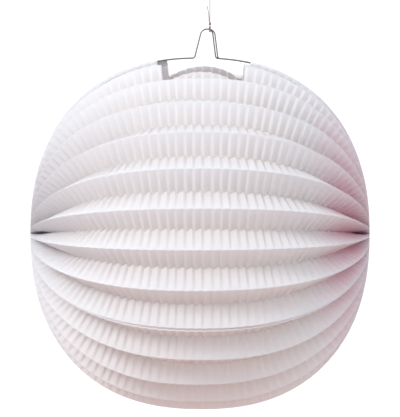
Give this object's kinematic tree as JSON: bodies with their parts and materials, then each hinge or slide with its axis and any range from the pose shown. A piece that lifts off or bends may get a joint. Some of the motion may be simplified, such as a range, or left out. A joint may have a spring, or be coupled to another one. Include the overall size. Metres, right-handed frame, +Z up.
{
  "type": "accordion paper lantern",
  "caption": "Round accordion paper lantern: crimped paper folded about a sideways pole axis, held by two nested wire hooks and hung from a thread.",
  "frame": {"origin": "hanging point: the inside top of the thread's loop, where a nail or a hook holds it", "axes": "+Z up along the thread, +X along the pole axis from the left pole to the right pole, -Y the front"},
  "size_m": [0.2406, 0.25, 0.3106],
  "materials": {
    "paper": "matt, crimped",
    "hem_paper": "matt",
    "wire": "drawn wire",
    "thread": "twisted thread"
  },
  "bodies": {
    "hanging_thread": {"thread": "thread", "thread_tail": "thread", "thread_loop": "thread", "loop_knot": "thread", "hook_knot": "thread", "hook_wrap": "thread"},
    "front_frame": {"front_wire": "wire", "front_hem_left": "hem_paper", "front_hem_right": "hem_paper", "front_leaf_left": "paper", "front_leaf_right": "paper", "pole_hub_left": "paper", "pole_hub_right": "paper", "pole_pin_left": "wire", "pole_pin_right": "wire"},
    "fold_01": {"pleat_01": "paper"},
    "fold_02": {"pleat_02": "paper"},
    "fold_03": {"pleat_03": "paper"},
    "fold_04": {"pleat_04": "paper"},
    "fold_05": {"pleat_05": "paper"},
    "fold_06": {"pleat_06": "paper"},
    "fold_07": {"pleat_07": "paper"},
    "fold_08": {"pleat_08": "paper"},
    "fold_09": {"pleat_09": "paper", "seam_front": "paper"},
    "fold_10": {"pleat_10": "paper"},
    "fold_11": {"pleat_11": "paper"},
    "fold_12": {"pleat_12": "paper"},
    "fold_13": {"pleat_13": "paper"},
    "fold_14": {"pleat_14": "paper"},
    "fold_15": {"pleat_15": "paper"},
    "fold_16": {"pleat_16": "paper"},
    "fold_17": {"pleat_17": "paper"},
    "fold_18": {"pleat_18": "paper"},
    "fold_19": {"pleat_19": "paper", "seam_back": "paper"},
    "fold_20": {"pleat_20": "paper"},
    "fold_21": {"pleat_21": "paper"},
    "fold_22": {"pleat_22": "paper"},
    "fold_23": {"pleat_23": "paper"},
    "fold_24": {"pleat_24": "paper"},
    "fold_25": {"pleat_25": "paper"},
    "fold_26": {"pleat_26": "paper"},
    "fold_27": {"pleat_27": "paper"},
    "back_frame": {"back_wire": "wire", "back_hem_left": "hem_paper", "back_hem_right": "hem_paper", "back_leaf_left": "paper", "back_leaf_right": "paper"}
  },
  "joints": [
    {"name": "lantern_swing", "type": "hinge", "parent": "hanging_thread", "child": "front_frame", "pos_m": [0, 0, -0.04035], "axis": [1, 0, 0], "range_deg": [-45, 45]},
    {"name": "pleat_fold_01", "type": "hinge", "parent": "front_frame", "child": "fold_01", "pos_m": [-0.007, 0, -0.18498], "axis": [1, 0, 0], "range_deg": [-12.47, 0], "deforming": ["pleat_01", "front_leaf_left", "front_leaf_right"]},
    {"name": "pleat_fold_02", "type": "hinge", "parent": "fold_01", "child": "fold_02", "pos_m": [-0.007, 0, -0.18498], "axis": [1, 0, 0], "range_deg": [-12.47, 0], "deforming": ["pleat_02"]},
    {"name": "pleat_fold_03", "type": "hinge", "parent": "fold_02", "child": "fold_03", "pos_m": [-0.007, 0, -0.18498], "axis": [1, 0, 0], "range_deg": [-12.47, 0], "deforming": ["pleat_03"]},
    {"name": "pleat_fold_04", "type": "hinge", "parent": "fold_03", "child": "fold_04", "pos_m": [-0.007, 0, -0.18498], "axis": [1, 0, 0], "range_deg": [-12.47, 0], "deforming": ["pleat_04"]},
    {"name": "pleat_fold_05", "type": "hinge", "parent": "fold_04", "child": "fold_05", "pos_m": [-0.007, 0, -0.18498], "axis": [1, 0, 0], "range_deg": [-12.47, 0], "deforming": ["pleat_05"]},
    {"name": "pleat_fold_06", "type": "hinge", "parent": "fold_05", "child": "fold_06", "pos_m": [-0.007, 0, -0.18498], "axis": [1, 0, 0], "range_deg": [-12.47, 0], "deforming": ["pleat_06"]},
    {"name": "pleat_fold_07", "type": "hinge", "parent": "fold_06", "child": "fold_07", "pos_m": [-0.007, 0, -0.18498], "axis": [1, 0, 0], "range_deg": [-12.47, 0], "deforming": ["pleat_07"]},
    {"name": "pleat_fold_08", "type": "hinge", "parent": "fold_07", "child": "fold_08", "pos_m": [-0.007, 0, -0.18498], "axis": [1, 0, 0], "range_deg": [-12.47, 0], "deforming": ["pleat_08"]},
    {"name": "pleat_fold_09", "type": "hinge", "parent": "fold_08", "child": "fold_09", "pos_m": [-0.007, 0, -0.18498], "axis": [1, 0, 0], "range_deg": [-12.47, 0], "deforming": ["pleat_09", "seam_front"]},
    {"name": "pleat_fold_10", "type": "hinge", "parent": "fold_09", "child": "fold_10", "pos_m": [-0.007, 0, -0.18498], "axis": [1, 0, 0], "range_deg": [-12.47, 0], "deforming": ["pleat_10"]},
    {"name": "pleat_fold_11", "type": "hinge", "parent": "fold_10", "child": "fold_11", "pos_m": [-0.007, 0, -0.18498], "axis": [1, 0, 0], "range_deg": [-12.47, 0], "deforming": ["pleat_11"]},
    {"name": "pleat_fold_12", "type": "hinge", "parent": "fold_11", "child": "fold_12", "pos_m": [-0.007, 0, -0.18498], "axis": [1, 0, 0], "range_deg": [-12.47, 0], "deforming": ["pleat_12"]},
    {"name": "pleat_fold_13", "type": "hinge", "parent": "fold_12", "child": "fold_13", "pos_m": [-0.007, 0, -0.18498], "axis": [1, 0, 0], "range_deg": [-12.47, 0], "deforming": ["pleat_13"]},
    {"name": "pleat_fold_14", "type": "hinge", "parent": "fold_13", "child": "fold_14", "pos_m": [-0.007, 0, -0.18498], "axis": [1, 0, 0], "range_deg": [-12.47, 0], "deforming": ["pleat_14"]},
    {"name": "pleat_fold_15", "type": "hinge", "parent": "fold_14", "child": "fold_15", "pos_m": [-0.007, 0, -0.18498], "axis": [1, 0, 0], "range_deg": [-12.47, 0], "deforming": ["pleat_15"]},
    {"name": "pleat_fold_16", "type": "hinge", "parent": "fold_15", "child": "fold_16", "pos_m": [-0.007, 0, -0.18498], "axis": [1, 0, 0], "range_deg": [-12.47, 0], "deforming": ["pleat_16"]},
    {"name": "pleat_fold_17", "type": "hinge", "parent": "fold_16", "child": "fold_17", "pos_m": [-0.007, 0, -0.18498], "axis": [1, 0, 0], "range_deg": [-12.47, 0], "deforming": ["pleat_17"]},
    {"name": "pleat_fold_18", "type": "hinge", "parent": "fold_17", "child": "fold_18", "pos_m": [-0.007, 0, -0.18498], "axis": [1, 0, 0], "range_deg": [-12.47, 0], "deforming": ["pleat_18"]},
    {"name": "pleat_fold_19", "type": "hinge", "parent": "fold_18", "child": "fold_19", "pos_m": [-0.007, 0, -0.18498], "axis": [1, 0, 0], "range_deg": [-12.47, 0], "deforming": ["pleat_19", "seam_back"]},
    {"name": "pleat_fold_20", "type": "hinge", "parent": "fold_19", "child": "fold_20", "pos_m": [-0.007, 0, -0.18498], "axis": [1, 0, 0], "range_deg": [-12.47, 0], "deforming": ["pleat_20"]},
    {"name": "pleat_fold_21", "type": "hinge", "parent": "fold_20", "child": "fold_21", "pos_m": [-0.007, 0, -0.18498], "axis": [1, 0, 0], "range_deg": [-12.47, 0], "deforming": ["pleat_21"]},
    {"name": "pleat_fold_22", "type": "hinge", "parent": "fold_21", "child": "fold_22", "pos_m": [-0.007, 0, -0.18498], "axis": [1, 0, 0], "range_deg": [-12.47, 0], "deforming": ["pleat_22"]},
    {"name": "pleat_fold_23", "type": "hinge", "parent": "fold_22", "child": "fold_23", "pos_m": [-0.007, 0, -0.18498], "axis": [1, 0, 0], "range_deg": [-12.47, 0], "deforming": ["pleat_23"]},
    {"name": "pleat_fold_24", "type": "hinge", "parent": "fold_23", "child": "fold_24", "pos_m": [-0.007, 0, -0.18498], "axis": [1, 0, 0], "range_deg": [-12.47, 0], "deforming": ["pleat_24"]},
    {"name": "pleat_fold_25", "type": "hinge", "parent": "fold_24", "child": "fold_25", "pos_m": [-0.007, 0, -0.18498], "axis": [1, 0, 0], "range_deg": [-12.47, 0], "deforming": ["pleat_25"]},
    {"name": "pleat_fold_26", "type": "hinge", "parent": "fold_25", "child": "fold_26", "pos_m": [-0.007, 0, -0.18498], "axis": [1, 0, 0], "range_deg": [-12.47, 0], "deforming": ["pleat_26"]},
    {"name": "pleat_fold_27", "type": "hinge", "parent": "fold_26", "child": "fold_27", "pos_m": [-0.007, 0, -0.18498], "axis": [1, 0, 0], "range_deg": [-12.47, 0], "deforming": ["pleat_27"]},
    {"name": "pleat_fold_28", "type": "hinge", "parent": "fold_27", "child": "back_frame", "pos_m": [-0.007, 0, -0.18498], "axis": [1, 0, 0], "range_deg": [-12.47, 0], "deforming": ["back_leaf_left", "back_leaf_right"]}
  ],
  "couplings": [
    {"joint": "pleat_fold_02", "follows": "pleat_fold_01", "ratio": 1},
    {"joint": "pleat_fold_03", "follows": "pleat_fold_01", "ratio": 1},
    {"joint": "pleat_fold_04", "follows": "pleat_fold_01", "ratio": 1},
    {"joint": "pleat_fold_05", "follows": "pleat_fold_01", "ratio": 1},
    {"joint": "pleat_fold_06", "follows": "pleat_fold_01", "ratio": 1},
    {"joint": "pleat_fold_07", "follows": "pleat_fold_01", "ratio": 1},
    {"joint": "pleat_fold_08", "follows": "pleat_fold_01", "ratio": 1},
    {"joint": "pleat_fold_09", "follows": "pleat_fold_01", "ratio": 1},
    {"joint": "pleat_fold_10", "follows": "pleat_fold_01", "ratio": 1},
    {"joint": "pleat_fold_11", "follows": "pleat_fold_01", "ratio": 1},
    {"joint": "pleat_fold_12", "follows": "pleat_fold_01", "ratio": 1},
    {"joint": "pleat_fold_13", "follows": "pleat_fold_01", "ratio": 1},
    {"joint": "pleat_fold_14", "follows": "pleat_fold_01", "ratio": 1},
    {"joint": "pleat_fold_15", "follows": "pleat_fold_01", "ratio": 1},
    {"joint": "pleat_fold_16", "follows": "pleat_fold_01", "ratio": 1},
    {"joint": "pleat_fold_17", "follows": "pleat_fold_01", "ratio": 1},
    {"joint": "pleat_fold_18", "follows": "pleat_fold_01", "ratio": 1},
    {"joint": "pleat_fold_19", "follows": "pleat_fold_01", "ratio": 1},
    {"joint": "pleat_fold_20", "follows": "pleat_fold_01", "ratio": 1},
    {"joint": "pleat_fold_21", "follows": "pleat_fold_01", "ratio": 1},
    {"joint": "pleat_fold_22", "follows": "pleat_fold_01", "ratio": 1},
    {"joint": "pleat_fold_23", "follows": "pleat_fold_01", "ratio": 1},
    {"joint": "pleat_fold_24", "follows": "pleat_fold_01", "ratio": 1},
    {"joint": "pleat_fold_25", "follows": "pleat_fold_01", "ratio": 1},
    {"joint": "pleat_fold_26", "follows": "pleat_fold_01", "ratio": 1},
    {"joint": "pleat_fold_27", "follows": "pleat_fold_01", "ratio": 1},
    {"joint": "pleat_fold_28", "follows": "pleat_fold_01", "ratio": 1}
  ]
}
